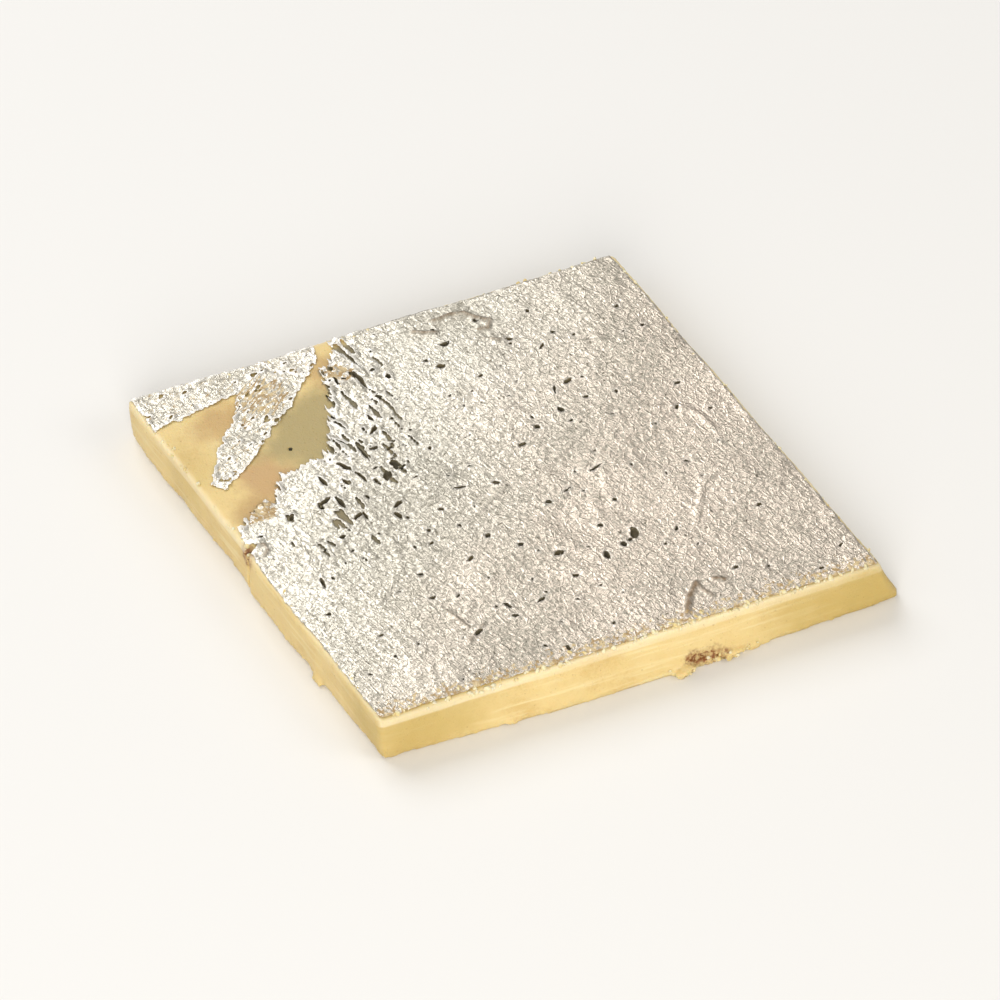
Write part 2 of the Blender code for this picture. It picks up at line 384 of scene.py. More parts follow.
# %% The crinkle group
# The two ways that the folds run, in degrees on the map, and sizes in mm along and across
FOLD_TURNS = (108.0, 20.0)
LONG_FOLD_SIZE = (1.9, 0.42, 1.0)
DASH_SIZE = (2.1, 0.9, 1.3)
crinkle, crinkle_in, crinkle_out = group(
    "Foil crinkle", {"Crinkle": 3.2, "Crease": 1.1}, ("Height", "Shade", "Tarnish", "Dashes")
)
place = in_millimetres(crinkle)
fine = add(crinkle, "ShaderNodeTexNoise", {"Detail": 4.0, "Roughness": 0.65})
join(crinkle, place, fine.inputs["Vector"])
join(crinkle, crinkle_in.outputs["Crinkle"], fine.inputs["Scale"])
crease = add(crinkle, "ShaderNodeTexVoronoi", feature="DISTANCE_TO_EDGE")
join(crinkle, place, crease.inputs["Vector"])
join(crinkle, crinkle_in.outputs["Crease"], crease.inputs["Scale"])
ridge = ramp(crinkle, crease.outputs["Distance"], 0.0, 0.10, 0.22, 0.0)
height = maths(crinkle, "ADD", fine.outputs["Fac"], ridge)
for turn in FOLD_TURNS:
    long_folds = noise(crinkle, stretched(crinkle, place, LONG_FOLD_SIZE, turn), 1.0, 3.0, 0.6)
    height = maths(crinkle, "ADD", height, long_folds)
join(crinkle, height, crinkle_out.inputs["Height"])
sparkle = noise(crinkle, place, 2.8, 3.0, 0.7, 0.8)
cloudy = maths(crinkle, "MULTIPLY", noise(crinkle, place, 0.09, 3.0, 0.5), 0.25)
shade = maths(crinkle, "ADD", maths(crinkle, "MULTIPLY", sparkle, 0.75), cloudy)
join(crinkle, ramp(crinkle, shade, 0.36, 0.62), crinkle_out.inputs["Shade"])
fine_spots = noise(crinkle, place, 2.1, 3.0, 0.7, 0.6)
spots = maths(crinkle, "MULTIPLY", fine_spots, noise(crinkle, place, 0.5, 2.0))
join(crinkle, ramp(crinkle, spots, 0.37, 0.44), crinkle_out.inputs["Tarnish"])
marks = []
for turn in FOLD_TURNS:
    gaps = cells(crinkle, stretched(crinkle, place, DASH_SIZE, turn), 1.0)
    marks.append(ramp(crinkle, gaps, 0.07, 0.13, 1.0, 0.0))
sparse = ramp(crinkle, noise(crinkle, place, 0.45, 2.0), 0.42, 0.56)
dashes = maths(crinkle, "MULTIPLY", maths(crinkle, "MAXIMUM", *marks), sparse)
join(crinkle, dashes, crinkle_out.inputs["Dashes"])
print("groups:", [tree.name for tree in bpy.data.node_groups])

# %% [markdown]
# ## The finishes
#
# Cashew paste lets a little light in, so it has some subsurface scattering, which keeps
# its yellow soft. Flat yellow would read as plastic or cheese. The leaf is metal, but
# worn: where it has rubbed off along the front cut the paste shows through, so one mask
# turns colour, metalness and roughness together.

# %% Cashew paste
PASTE_IOR = 1.46
PASTE = (0.74, 0.555, 0.235)
PASTE_LIGHT = (0.82, 0.68, 0.36)
PASTE_DEEP = (0.64, 0.44, 0.155)
PASTE_GREY = (0.37, 0.295, 0.13)
PASTE_TAN = (0.50, 0.315, 0.125)
PASTE_ROSE = (0.53, 0.335, 0.15)
PASTE_OCHRE = (0.52, 0.37, 0.105)
FLECK = (0.36, 0.20, 0.07)
BRUISE_AND_NICK_SHADE = (0.23, 0.075, 0.015)
RIM_HIGHLIGHT = (0.90, 0.80, 0.56)
UNDER_LEAF_SHADE_DARK = (0.15, 0.128, 0.072)
UNDER_LEAF_SHADE_LIGHT = (0.27, 0.222, 0.125)


def paste_finish(name):
    """Paste with its grain, and sockets ready for what a piece adds to its colour."""
    made, tree, shader = finish(
        name,
        0.5,
        Subsurface_Weight=0.22,
        Subsurface_Radius=(1.0, 0.6, 0.25),
        Subsurface_Scale=1.0 * MM,
        IOR=PASTE_IOR,
    )
    pattern = use_group(tree, grain)
    tone = blend(tree, pattern.outputs["Mottle"], PASTE_DEEP, PASTE_LIGHT)
    tone = blend(tree, ramp(tree, pattern.outputs["Mottle"], 0.2, 0.5, 0.35, 0.75), tone, PASTE)
    tone = blend(tree, ramp(tree, pattern.outputs["Streaks"], 0.5, 0.68, 0.0, 0.7), tone, PASTE_LIGHT)
    tone = blend(tree, maths(tree, "MULTIPLY", pattern.outputs["Flecks"], 0.5), tone, FLECK)
    join(tree, ramp(tree, pattern.outputs["Mottle"], 0.0, 1.0, 0.42, 0.6), shader.inputs["Roughness"])
    relief = maths(tree, "ADD", pattern.outputs["Height"], pattern.outputs["Streaks"])
    bump(tree, shader, relief, 0.05 * MM)
    return made, tree, shader, pattern, tone


# How high the slab's top lies, in mm, leaving out its swells
TOP = 5.2
# Each line: a spot's place on the map and height, its inner and outer reach, all in mm, its
# strength and its colour
PASTE_SPOTS = (
    ((7.3, 38.0, TOP), 3.0, 7.5, 0.85, PASTE_GREY),
    ((0.8, 33.4, TOP), 1.5, 4.0, 0.88, PASTE_ROSE),
    ((-1.5, 29.5, TOP), 1.0, 3.5, 0.75, PASTE_TAN),
    ((-0.4, 42.4, TOP), 1.0, 4.5, 0.75, PASTE_TAN),
    ((11.0, 45.0, TOP), 0.5, 3.0, 0.70, PASTE_TAN),
    ((-6.5, 37.5, TOP), 2.0, 6.0, 0.35, PASTE_OCHRE),
    # The next two are painted shade: the front cut darker and more golden at its two ends than in its
    # middle
    ((3.0, -0.4, 4.4), 2.0, 10.0, 0.75, PASTE_OCHRE),
    ((50.0, 0.0, 2.6), 4.0, 17.0, 0.92, PASTE_OCHRE),
)
# Each line: a bruise's place on the map and height, and its inner and outer reach, all in mm;
# the last one is no bruise but painted shade inside the nick in the left rim
BRUISES_AND_NICK_SHADE = (
    ((30.4, -0.4, 1.3), 0.4, 1.3),
    ((31.9, -0.6, 1.1), 0.6, 1.7),
    ((33.6, -0.5, 0.9), 0.2, 1.0),
    ((-4.3, 25.5, 4.5), 0.7, 1.7),
)
RIM_HIGHLIGHT_STRENGTH = 0.6
paste, tree, shader, pattern, tone = paste_finish("Cashew paste")
place = in_millimetres(tree)
for centre, inner, outer, strength, colour in PASTE_SPOTS:
    mask = spot(tree, place, centre, inner, outer)
    tone = blend(tree, maths(tree, "MULTIPLY", mask, strength), tone, colour)
patchy = ramp(tree, noise(tree, place, 1.9, 3.0, 0.7), 0.40, 0.56, 0.25, 1.0)
# Brown bruises on the front cut's lower lip, and painted shade in the left nick
for centre, inner, outer in BRUISES_AND_NICK_SHADE:
    mask = spot(tree, place, centre, inner, outer)
    tone = blend(tree, maths(tree, "MULTIPLY", mask, patchy), tone, BRUISE_AND_NICK_SHADE)
# A pale highlight is painted along the cut rim
rim = add(tree, "ShaderNodeAttribute", attribute_name="Painted rim highlight")
tone = blend(tree, maths(tree, "MULTIPLY", rim.outputs["Fac"], RIM_HIGHLIGHT_STRENGTH), tone, RIM_HIGHLIGHT)
# Painted shade under the leaf: the paste there is darkened, and shows through cracks and holes
covered = add(tree, "ShaderNodeAttribute", attribute_name="Under leaf")
under = blend(tree, pattern.outputs["Mottle"], UNDER_LEAF_SHADE_DARK, UNDER_LEAF_SHADE_LIGHT)
tone = blend(tree, covered.outputs["Fac"], tone, under)
join(tree, tone, shader.inputs["Base Color"])

# %% Loose crumbs
CRUMB_CREAM = (0.86, 0.76, 0.50)
crumb_paste, tree, shader, pattern, tone = paste_finish("Paste crumbs")
pale = ramp(tree, noise(tree, in_millimetres(tree), 0.9, 2.0), 0.35, 0.6)
tone = blend(tree, pale, tone, CRUMB_CREAM)
join(tree, tone, shader.inputs["Base Color"])

# %% Painted shade in the pits
# The pit walls are painted near black, as shade for hollows too shallow to fall dark
PIT_DARK = (0.055, 0.048, 0.030)
PIT_BROWN = (0.15, 0.115, 0.055)
pit, tree, shader = finish("Painted pit shade", 0.65, IOR=PASTE_IOR)
pattern = use_group(tree, grain, Grain=6.0)
join(tree, blend(tree, pattern.outputs["Mottle"], PIT_DARK, PIT_BROWN), shader.inputs["Base Color"])
bump(tree, shader, pattern.outputs["Height"], 0.04 * MM)

# %% Silver leaf
SILVER = (0.845, 0.795, 0.687)
SILVER_WARM = (0.755, 0.648, 0.54)
SILVER_EDGE_HIGHLIGHT = (0.93, 0.90, 0.84)
SILVER_DULL = (0.40, 0.37, 0.305)
TARNISH = (0.20, 0.185, 0.14)
DASH = (0.15, 0.13, 0.09)
WORN = (0.63, 0.49, 0.27)
WORN_BROWN = (0.40, 0.265, 0.115)
CREASE_SHADE = (0.17, 0.098, 0.036)
TONGUE_TURN = 38.0
# The silver warms across the piece, from the first place to the second, in mm, with a wavy border
WARM_FROM, WARM_TO = -9.0, 21.0
WARM_WAVE = 18.0
# How worn the leaf is at the front rim, how far in that reaches, in mm, and how worn elsewhere
RIM_WEAR = 0.53
RIM_WEAR_FROM, RIM_WEAR_TO = 0.3, 4.0
LEAF_WEAR, SCRAP_WEAR = 0.26, 0.41
TORN_MATT = 0.65


def silver_finish(name, worn_spots, base_wear, streak=1.0):
    """Worn silver leaf: where its noise falls below the wear, the paste shows through."""
    made, tree, shader = finish(name, 0.4, 1.0)
    place = in_millimetres(tree)
    pattern = use_group(tree, crinkle)
    split = add(tree, "ShaderNodeSeparateXYZ")
    join(tree, place, split.inputs[0])
    slope = maths(tree, "SUBTRACT", split.outputs["X"], maths(tree, "MULTIPLY", split.outputs["Y"], 0.8))
    wave = maths(tree, "MULTIPLY", noise(tree, place, 0.12, 3.0), WARM_WAVE)
    slope = maths(tree, "ADD", slope, wave)
    bright = blend(tree, ramp(tree, slope, WARM_FROM, WARM_TO), SILVER, SILVER_WARM)
    tone = blend(tree, pattern.outputs["Shade"], SILVER_DULL, bright)
    tone = blend(tree, maths(tree, "MULTIPLY", pattern.outputs["Tarnish"], 0.7), tone, TARNISH)
    tone = blend(tree, maths(tree, "MULTIPLY", pattern.outputs["Dashes"], 0.85), tone, DASH)
    rim_from, rim_to = front.y / MM + RIM_WEAR_FROM, front.y / MM + RIM_WEAR_TO
    wear = ramp(tree, split.outputs["Y"], rim_from, rim_to, RIM_WEAR, base_wear)
    for centre, inner, outer, strength in worn_spots:
        rubbed = maths(tree, "MULTIPLY", spot(tree, place, centre, inner, outer), strength)
        wear = maths(tree, "MAXIMUM", wear, rubbed)
    flakes = noise(tree, stretched(tree, place, (streak, 1.0 / streak, 1.0), TONGUE_TURN), 1.9, 4.0, 0.7)
    worn = ramp(tree, maths(tree, "SUBTRACT", wear, flakes), 0.0, 0.05)
    gold = blend(tree, ramp(tree, noise(tree, place, 1.1, 2.0), 0.4, 0.6), WORN_BROWN, WORN)
    torn = add(tree, "ShaderNodeAttribute", attribute_name="Torn edge").outputs["Fac"]
    # A pale highlight is painted along the torn edges
    tone = blend(tree, torn, tone, SILVER_EDGE_HIGHLIGHT)
    # Painted shade along the folds, darkening the leaf to brown there
    fold_shaded = add(tree, "ShaderNodeAttribute", attribute_name="Painted crease shade").outputs["Fac"]
    tone = blend(tree, fold_shaded, tone, CREASE_SHADE)
    join(tree, blend(tree, worn, tone, gold), shader.inputs["Base Color"])
    matt = maths(tree, "MAXIMUM", worn, maths(tree, "MULTIPLY", torn, TORN_MATT))
    matt = maths(tree, "MAXIMUM", matt, fold_shaded)
    join(tree, maths(tree, "SUBTRACT", 1.0, matt), shader.inputs["Metallic"])
    join(tree, ramp(tree, pattern.outputs["Shade"], 0.0, 1.0, 0.50, 0.31), shader.inputs["Roughness"])
    bump(tree, shader, pattern.outputs["Height"], 0.07 * MM)
    return made


# Each line: a spot's place on the map and height, its reaches in mm, and how worn it is
LEAF_WORN = (
    ((-1.3, 29.9, TOP), 1.0, 2.8, 0.59),
    ((11.9, 43.8, TOP), 0.9, 2.6, 0.56),
)
SCRAP_WORN = (((3.4, 44.2, TOP), 1.8, 4.8, 0.53),)
silver = silver_finish("Silver leaf", LEAF_WORN, LEAF_WEAR)
torn_silver = silver_finish("Torn silver leaf", SCRAP_WORN, SCRAP_WEAR, streak=1.7)
print("finishes:", [material.name for material in bpy.data.materials])

# %% [markdown]
# ## The pits
#
# Beaten leaf breaks where the paste below it has a pit. Most pits are specks strewn over
# the whole top, and near the tear the leaf has cracked in slanting strokes. Each is cut
# out as a small ragged cone, first from the fudge and later from the leaf, so the two
# agree. The plainest strokes and pits are listed one by one, the specks placed by a seeded draw.

# %% Pit cutters
PIT_DEPTH = 0.4 * MM
PIT_SIDES = 11
# Each line: the place on the map, length and width in mm, and the turn in degrees
STROKES = (
    (13.4, 42.6, 3.6, 0.75, 100),
    (11.3, 43.1, 1.5, 0.4, 100),
    (9.9, 41.5, 1.3, 0.4, 103),
    (9.4, 38.8, 1.2, 0.45, 110),
    (9.6, 37.3, 2.3, 0.35, 115),
    (12.6, 37.0, 1.4, 0.55, 110),
    (12.3, 35.5, 1.9, 0.7, 55),
    (8.9, 35.2, 1.4, 0.35, 130),
    (10.3, 33.0, 3.1, 0.45, 104),
    (11.5, 33.2, 1.2, 0.6, 175),
    (12.9, 32.7, 1.1, 0.5, 15),
    (8.1, 32.0, 2.3, 0.75, 125),
    (5.5, 31.0, 1.9, 0.5, 108),
    (12.6, 30.5, 1.8, 1.0, 95),
    (13.1, 29.8, 1.3, 0.5, 20),
    (9.1, 30.1, 2.4, 0.5, 110),
    (7.5, 30.0, 1.5, 0.5, 108),
    (11.4, 29.4, 1.8, 1.1, 70),
    (10.2, 29.1, 1.1, 0.5, 105),
    (4.8, 28.4, 2.2, 0.8, 35),
    (6.1, 27.7, 2.1, 0.55, 105),
    (4.2, 28.0, 1.4, 0.6, 105),
    (8.7, 27.4, 0.9, 0.55, 108),
    (7.0, 25.4, 1.7, 0.6, 35),
    (7.7, 25.1, 1.5, 0.5, 96),
    (11.0, 25.4, 1.5, 0.65, 30),
    (10.6, 24.0, 1.4, 0.65, 110),
    (1.2, 27.8, 1.1, 0.55, 50),
)
PITS = (
    (4.2, 36.4, 0.6, 0.55, 0),
    (22.6, 43.6, 1.2, 0.65, 0),
    (21.2, 40.9, 1.3, 0.8, 160),
    (16.1, 41.7, 1.1, 0.65, 95),
    (14.3, 39.5, 1.0, 0.6, 150),
    (31.6, 34.3, 1.2, 0.75, 20),
    (30.1, 33.7, 1.4, 0.35, 75),
    (29.7, 31.0, 1.1, 0.6, 115),
    (26.8, 29.7, 0.8, 0.7, 120),
    (24.7, 28.1, 1.2, 0.45, 0),
    (17.2, 25.2, 1.4, 0.5, 165),
    (4.7, 23.4, 0.9, 0.7, 15),
    (29.9, 22.4, 2.0, 0.4, 19),
    (24.2, 20.0, 0.9, 0.55, 140),
    (26.4, 20.8, 1.3, 0.25, 28),
    (19.8, 15.8, 0.8, 0.6, 135),
    (22.6, 13.4, 1.2, 0.85, 20),
    (30.1, 13.0, 1.9, 0.95, 72),
    (28.7, 12.0, 0.9, 0.7, 145),
    (26.7, 11.3, 1.3, 0.75, 90),
    (23.1, 10.0, 0.8, 0.75, 130),
    (9.8, 12.7, 0.8, 0.6, 170),
    (15.9, 9.0, 1.4, 0.45, 115),
    (19.0, 8.4, 1.1, 0.5, 25),
    (12.2, 6.9, 1.4, 0.5, 30),
    (1.0, 18.5, 1.6, 0.45, 88),
    (17.4, 18.2, 0.8, 0.6, 60),
    (28.5, 41.9, 0.9, 0.6, 140),
    (31.1, 39.7, 1.2, 0.4, 50),
    (12.2, 19.4, 0.7, 0.5, 30),
)
NICK = (-4.2, 25.6, 3.4, 1.2, 16)
NICK_DEPTH = 1.0 * MM
SPECKS = 105
SPECK_DEPTH = 0.7 * PIT_DEPTH
SPECK_SIZES = (0.22, 0.55)
SPECK_MARGIN = 1.0 * MM
SPECK_GAP = 1.9
BARE_CORNER = (10.0, 28.0)
CONE_ENDS = (0.34, 0.60)
RAGGED = (0.65, 1.25)


def add_pit(x, y, length, width, turn, deep, draw):
    """One ragged cone, narrow end down, standing in the top of the slab."""
    bpy.ops.object.select_all(action="DESELECT")
    bpy.ops.mesh.primitive_cone_add(
        vertices=PIT_SIDES,
        radius1=CONE_ENDS[0],
        radius2=CONE_ENDS[1],
        depth=4 * deep,
        location=at(x, y, top_height + deep),
    )
    cone = bpy.context.object
    for vertex in cone.data.vertices:
        ragged = draw.uniform(*RAGGED)
        vertex.co.x *= ragged * length * MM
        vertex.co.y *= ragged * width * MM
    cone.rotation_euler.z = math.radians(turn)
    return cone


def strewn(count, draw):
    """Places on the map inside the slab's margins and off the bare corner, well apart."""
    across, along = right - front, left - front
    places = []
    while len(places) < count:
        spread = across * draw.random() + along * draw.random()
        point = spread / MM
        inside = inland(front + spread) > SPECK_MARGIN
        bare = point.x < BARE_CORNER[0] and point.y > BARE_CORNER[1]
        if inside and not bare and all((point - other).length > SPECK_GAP for other in places):
            places.append(point)
    return places


def joined(pieces, name):
    """Joins pieces into one and applies its place."""
    bpy.ops.object.select_all(action="DESELECT")
    for piece in pieces:
        piece.select_set(True)
    bpy.context.view_layer.objects.active = pieces[0]
    bpy.ops.object.join()
    whole = bpy.context.object
    whole.name = name
    whole.data.name = name
    bpy.ops.object.transform_apply(location=True, rotation=True, scale=True)
    return whole


draw = random.Random(7)
cones = [add_pit(*mark, PIT_DEPTH, draw) for mark in STROKES + PITS]
for place in strewn(SPECKS, draw):
    size = draw.uniform(*SPECK_SIZES)
    stretch = draw.uniform(1.0, 2.0)
    turn = draw.uniform(0, 180)
    cones.append(add_pit(place.x, place.y, size * stretch, size, turn, SPECK_DEPTH, draw))
pit_cutters = joined(cones, "pit_cutters")
# The cutters carry the painted pit shade as their second finish, and leave it on the walls that they cut
for finish_slot in (paste, pit):
    pit_cutters.data.materials.append(finish_slot)
for face in pit_cutters.data.polygons:
    face.material_index = 1
nick_cutter = joined([add_pit(*NICK, NICK_DEPTH, draw)], "nick_cutter")
print("pits:", len(cones), "cutter triangles:", triangles(pit_cutters))

# %% [markdown]
# ## The cut fudge
#
# Cashew paste is ground nuts and sugar, dense and fine, so a cut face is smooth with a
# faint grain, and its lips are a little ragged. A box with bevels would look machined.
# The solid's own skin is taken instead, remade as small even squares by Remesh, and
# roughened by three sizes of relief. The foot stays flat, because the piece lies on it.

# %% Skin of the fudge
FUDGE_VOXEL = 0.23 * MM
FOOT_BAND = 0.12 * MM
GRAIN_SIZE = 0.55 * MM
GRAIN_HEIGHT = 0.05 * MM
LUMP_SIZE = 2.6 * MM
LUMP_HEIGHT = 0.2 * MM
RAG_SIZE = 0.65 * MM
RAG_HEIGHT = 0.55 * MM
LIP_HEIGHT = 1.2 * MM
CRAG_SIZE = 0.5 * MM
CRAG_HEIGHT = -2.2 * MM
CRAG_CENTRE = 32.5
CRAG_REACH = 5.0
RIM_HEIGHT = 0.8 * MM

fudge = copy_of(slab, "cut_fudge")
for finish_slot in (paste, pit):
    fudge.data.materials.append(finish_slot)
shape(fudge, "REMESH", mode="VOXEL", voxel_size=FUDGE_VOXEL, use_smooth_shade=True)
shape(fudge, "SMOOTH", factor=0.5, iterations=3)
pick_faces(fudge, lambda face: face.normal.z < -0.95 and face.center.z < FOOT_BAND)
edit(fudge, lambda: bpy.ops.mesh.dissolve_faces(use_verts=False))


def above_foot(vertex):
    return (vertex.co.z - FOOT_BAND) / (0.4 * MM)


def on_cut(vertex):
    """The standing cuts, fading out at the foot."""
    return (1.0 - abs(vertex.normal.z)) * min(1.0, above_foot(vertex))


def on_lips(vertex):
    """The lower lip of each cut, and less of its upper rim."""
    standing = 1.0 - abs(vertex.normal.z) ** 2
    low = max(0.0, 1.0 - vertex.co.z / LIP_HEIGHT)
    high = max(0.0, 1.0 - (top_height - vertex.co.z) / RIM_HEIGHT)
    return standing * (low + 0.5 * high)


def on_crags(vertex):
    """The part of the front cut's lower lip where the knife tore the paste."""
    from_crags = abs((vertex.co.x - front.x) / MM - CRAG_CENTRE) / CRAG_REACH
    return on_lips(vertex) * max(0.0, 1.5 - 1.5 * from_crags) if vertex.normal.y < -0.2 else 0.0


foot = [vertex.index for vertex in fudge.data.vertices if vertex.co.z < FOOT_BAND]
everywhere = weigh(fudge, "above foot", above_foot)
cuts = weigh(fudge, "cuts", on_cut)
lips = weigh(fudge, "lips", on_lips)
crags = weigh(fudge, "crags", on_crags)
displace(fudge, clouds("lumps", LUMP_SIZE), LUMP_HEIGHT, group=cuts)
displace(fudge, clouds("ragged lips", RAG_SIZE, depth=3, hard=True), RAG_HEIGHT, group=lips)
displace(fudge, clouds("crags", CRAG_SIZE, depth=3, hard=True), CRAG_HEIGHT, middle=0.25, group=crags)
displace(fudge, clouds("grain", GRAIN_SIZE, depth=3), GRAIN_HEIGHT, group=everywhere)
for vertex in fudge.data.vertices:
    vertex.co.z = max(0.0, vertex.co.z)
for number in foot:
    fudge.data.vertices[number].co.z = 0.0
foot_height = min(vertex.co.z for vertex in fudge.data.vertices)
print("fudge triangles:", triangles(fudge), "foot at", round(foot_height / MM, 3))

# %% [markdown]
# ## The leaf's torn outline
#
# The solid leaves already have the run of each tear. Leaf tears raggeder than that, so
# each outline is taken from its solid, cut into short steps and shaken by fine noise. It
# is then filled and extruded into a tall block, which works like a biscuit cutter on a
# flat sheet. Cutting flat and draping afterwards keeps the edge crisp.

# %% Biscuit cutters for the leaf
LEAF_STEPS = 6
LEAF_SPREAD = 1.012
TEAR_SIZE = 0.45 * MM
LEAF_SHAKE = 0.4 * MM
SCRAP_SHAKE = 0.27 * MM
SLIVER_SIZE = 0.55 * MM
LEAF_SLIVER = 1.6 * MM
SCRAP_SLIVER = 0.35 * MM
SLIVER_TURN = math.radians(106.0)
SHEET_HEIGHT = top_height - 0.05 * MM
BLOCK_HEIGHT = 2.0 * MM
TEAR_REACH = 27.0
TEAR_FADE = 6.0
WHOLE_SHARE = 0.2


def near_tear(point):
    """1 round the torn corner, falling to a small share over the rest of the sheet."""
    from_corner = (point - left).length / MM
    return max(WHOLE_SHARE, min(1.0, (TEAR_REACH - from_corner) / TEAR_FADE))


def sliver(vertex, reach):
    """Pulls a point of a tear along the slant in which the leaf has split."""
    along = Vector((math.cos(SLIVER_TURN), math.sin(SLIVER_TURN), 0.0))
    pull = field.noise(vertex.co / SLIVER_SIZE) + 0.5 * field.noise(2.3 * vertex.co / SLIVER_SIZE)
    vertex.co += along * pull * reach * max(0.0, near_tear(vertex.co) - WHOLE_SHARE)


def outline_block(node, name, reach, shake):
    """A tall block with the ragged outline of a solid leaf."""
    block = copy_of(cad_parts[node], name)
    pick_faces(block, lambda face: face.normal.z < 0.5)
    edit(block, lambda: bpy.ops.mesh.delete(type="FACE"))
    edit(
        block,
        lambda: bpy.ops.mesh.select_all(action="SELECT"),
        lambda: bpy.ops.mesh.region_to_loop(),
        lambda: bpy.ops.mesh.select_all(action="INVERT"),
        lambda: bpy.ops.mesh.delete(type="EDGE"),
        lambda: bpy.ops.mesh.select_all(action="SELECT"),
        lambda: bpy.ops.mesh.subdivide(number_cuts=LEAF_STEPS),
        lambda: bpy.ops.transform.resize(value=(LEAF_SPREAD, LEAF_SPREAD, 0.0), center_override=(0, 0, 0)),
    )
    for vertex in block.data.vertices:
        sliver(vertex, reach)
    displace(block, clouds(f"{name} shake x", TEAR_SIZE, depth=3), shake, direction="X")
    displace(block, clouds(f"{name} shake y", TEAR_SIZE * 1.1, depth=3), shake, direction="Y")
    edit(
        block,
        lambda: bpy.ops.mesh.select_all(action="SELECT"),
        lambda: bpy.ops.mesh.edge_face_add(),
        lambda: bpy.ops.mesh.extrude_region_move(
            TRANSFORM_OT_translate={"value": (0, 0, BLOCK_HEIGHT)}
        ),
        lambda: bpy.ops.mesh.select_all(action="SELECT"),
        lambda: bpy.ops.transform.translate(value=(0, 0, SHEET_HEIGHT - BLOCK_HEIGHT / 2)),
        lambda: bpy.ops.mesh.normals_make_consistent(inside=False),
    )
    return block


main_block = outline_block("silver_leaf", "main_outline", LEAF_SLIVER, LEAF_SHAKE)
scrap_block = outline_block("silver_leaf_scrap", "scrap_outline", SCRAP_SLIVER, SCRAP_SHAKE)
print("outline points:", len(main_block.data.vertices) // 2, len(scrap_block.data.vertices) // 2)

# %% [markdown]
# ## The silver leaf
#
# The leaf is a sheet thinner than any mesh could show, stuck to the paste and crinkled
# like foil. A flat plane with a bump map would have no torn edge and no holes. So a fine
# grid is cut with the outline block and the pit cones, laid on the fudge by Shrinkwrap,
# lifted a little along its tears, creased by relief, and given a hair of thickness last.

# %% Flat sheets
LEAF_CELL = 0.275 * MM
SCRAP_CELL = 0.13 * MM
PLATE = 0.3 * MM


def flat_sheet(name, block, cell):
    """A level grid cut to the block's outline, with the pits cut out of it."""
    low = Vector([min(v.co[axis] for v in block.data.vertices) for axis in range(3)])
    high = Vector([max(v.co[axis] for v in block.data.vertices) for axis in range(3)])
    span = high - low + Vector((cell, cell, 0.0)) * 2
    bpy.ops.object.select_all(action="DESELECT")
    bpy.ops.mesh.primitive_grid_add(
        x_subdivisions=round(span.x / cell),
        y_subdivisions=round(span.y / cell),
        size=1.0,
        location=((low.x + high.x) / 2, (low.y + high.y) / 2, SHEET_HEIGHT),
    )
    piece = bpy.context.object
    piece.name = name
    piece.data.name = name
    piece.scale = (span.x, span.y, 1.0)
    bpy.ops.object.transform_apply(location=True, rotation=True, scale=True)
    shape(piece, "SOLIDIFY", thickness=PLATE, offset=0.0)
    shape(piece, "BOOLEAN", operation="INTERSECT", solver="MANIFOLD", object=block)
    for cutter in (pit_cutters, nick_cutter):
        shape(piece, "BOOLEAN", operation="DIFFERENCE", solver="MANIFOLD", object=cutter)
    pick_faces(piece, lambda face: face.normal.z < 0.9 or face.center.z < SHEET_HEIGHT)
    edit(piece, lambda: bpy.ops.mesh.delete(type="FACE"))
    return piece


def eat_holes(piece, keep):
    """Deletes the faces where keep is below zero, and eases the new edges."""
    pick_faces(piece, lambda face: keep(face.center) < 0.0)
    edit(
        piece,
        lambda: bpy.ops.mesh.delete(type="FACE"),
        lambda: bpy.ops.mesh.select_all(action="SELECT"),
        lambda: bpy.ops.mesh.region_to_loop(),
        lambda: bpy.ops.mesh.vertices_smooth(factor=0.5, repeat=2),
    )


# %% [markdown]
# In a few places a fold stands proud of the leaf: a curl near the back cut, a forked
# pinch near the front one, and some long faint lines. Along most folds a brown shade is
# painted into the leaf. Each fold is drawn on the map as a line of two to five places.

# %% Folds
# Each line: how wide and how high the fold is in mm, how strong the painted shade along it, and where it
# runs
FOLDS = (
    (0.18, 0.32, 0.75, ((22.6, 47.0), (24.4, 47.2), (25.8, 46.9), (26.6, 45.8), (27.7, 44.9))),
    (0.15, 0.22, 0.70, ((27.7, 44.9), (27.2, 44.0), (26.2, 44.2))),
    (0.18, 0.22, 0.75, ((20.4, 46.4), (21.4, 45.8), (22.4, 45.4))),
    (0.15, 0.14, 0.50, ((26.3, 42.8), (27.6, 42.1))),
    (0.24, 0.26, 0.85, ((30.8, 1.3), (31.7, 3.1), (33.0, 4.6))),
    (0.14, 0.20, 0.65, ((33.0, 4.6), (33.3, 3.5), (33.8, 2.6))),
    (0.22, 0.14, 0.90, ((34.7, 4.6), (35.6, 4.1))),
    (0.22, 0.32, 0, ((10.6, 45.6), (11.7, 44.6), (12.7, 43.0), (13.2, 41.0))),
    (0.18, 0.28, 0, ((12.4, 46.2), (13.6, 44.6), (14.2, 42.8))),
    (0.16, 0.16, 0, ((38.0, 27.6), (40.3, 26.8), (41.6, 24.9), (42.1, 22.8))),
    (0.15, 0.20, 0.70, ((-3.2, 25.6), (-2.4, 25.5), (-2.3, 24.6), (-2.8, 24.1))),
    (0.15, 0.14, 0.35, ((11.5, 7.8), (10.4, 10.6))),
    (0.15, 0.14, 0.35, ((11.0, 6.2), (12.9, 7.6))),
    (0.18, 0.10, 0, ((16.0, 20.5), (21.0, 23.5), (25.5, 24.3), (31.0, 27.6))),
    (0.18, 0.10, 0, ((36.0, 12.0), (38.5, 16.5), (43.0, 19.0))),
    (0.18, 0.09, 0, ((5.0, 14.0), (8.5, 17.5), (9.0, 21.5))),
)
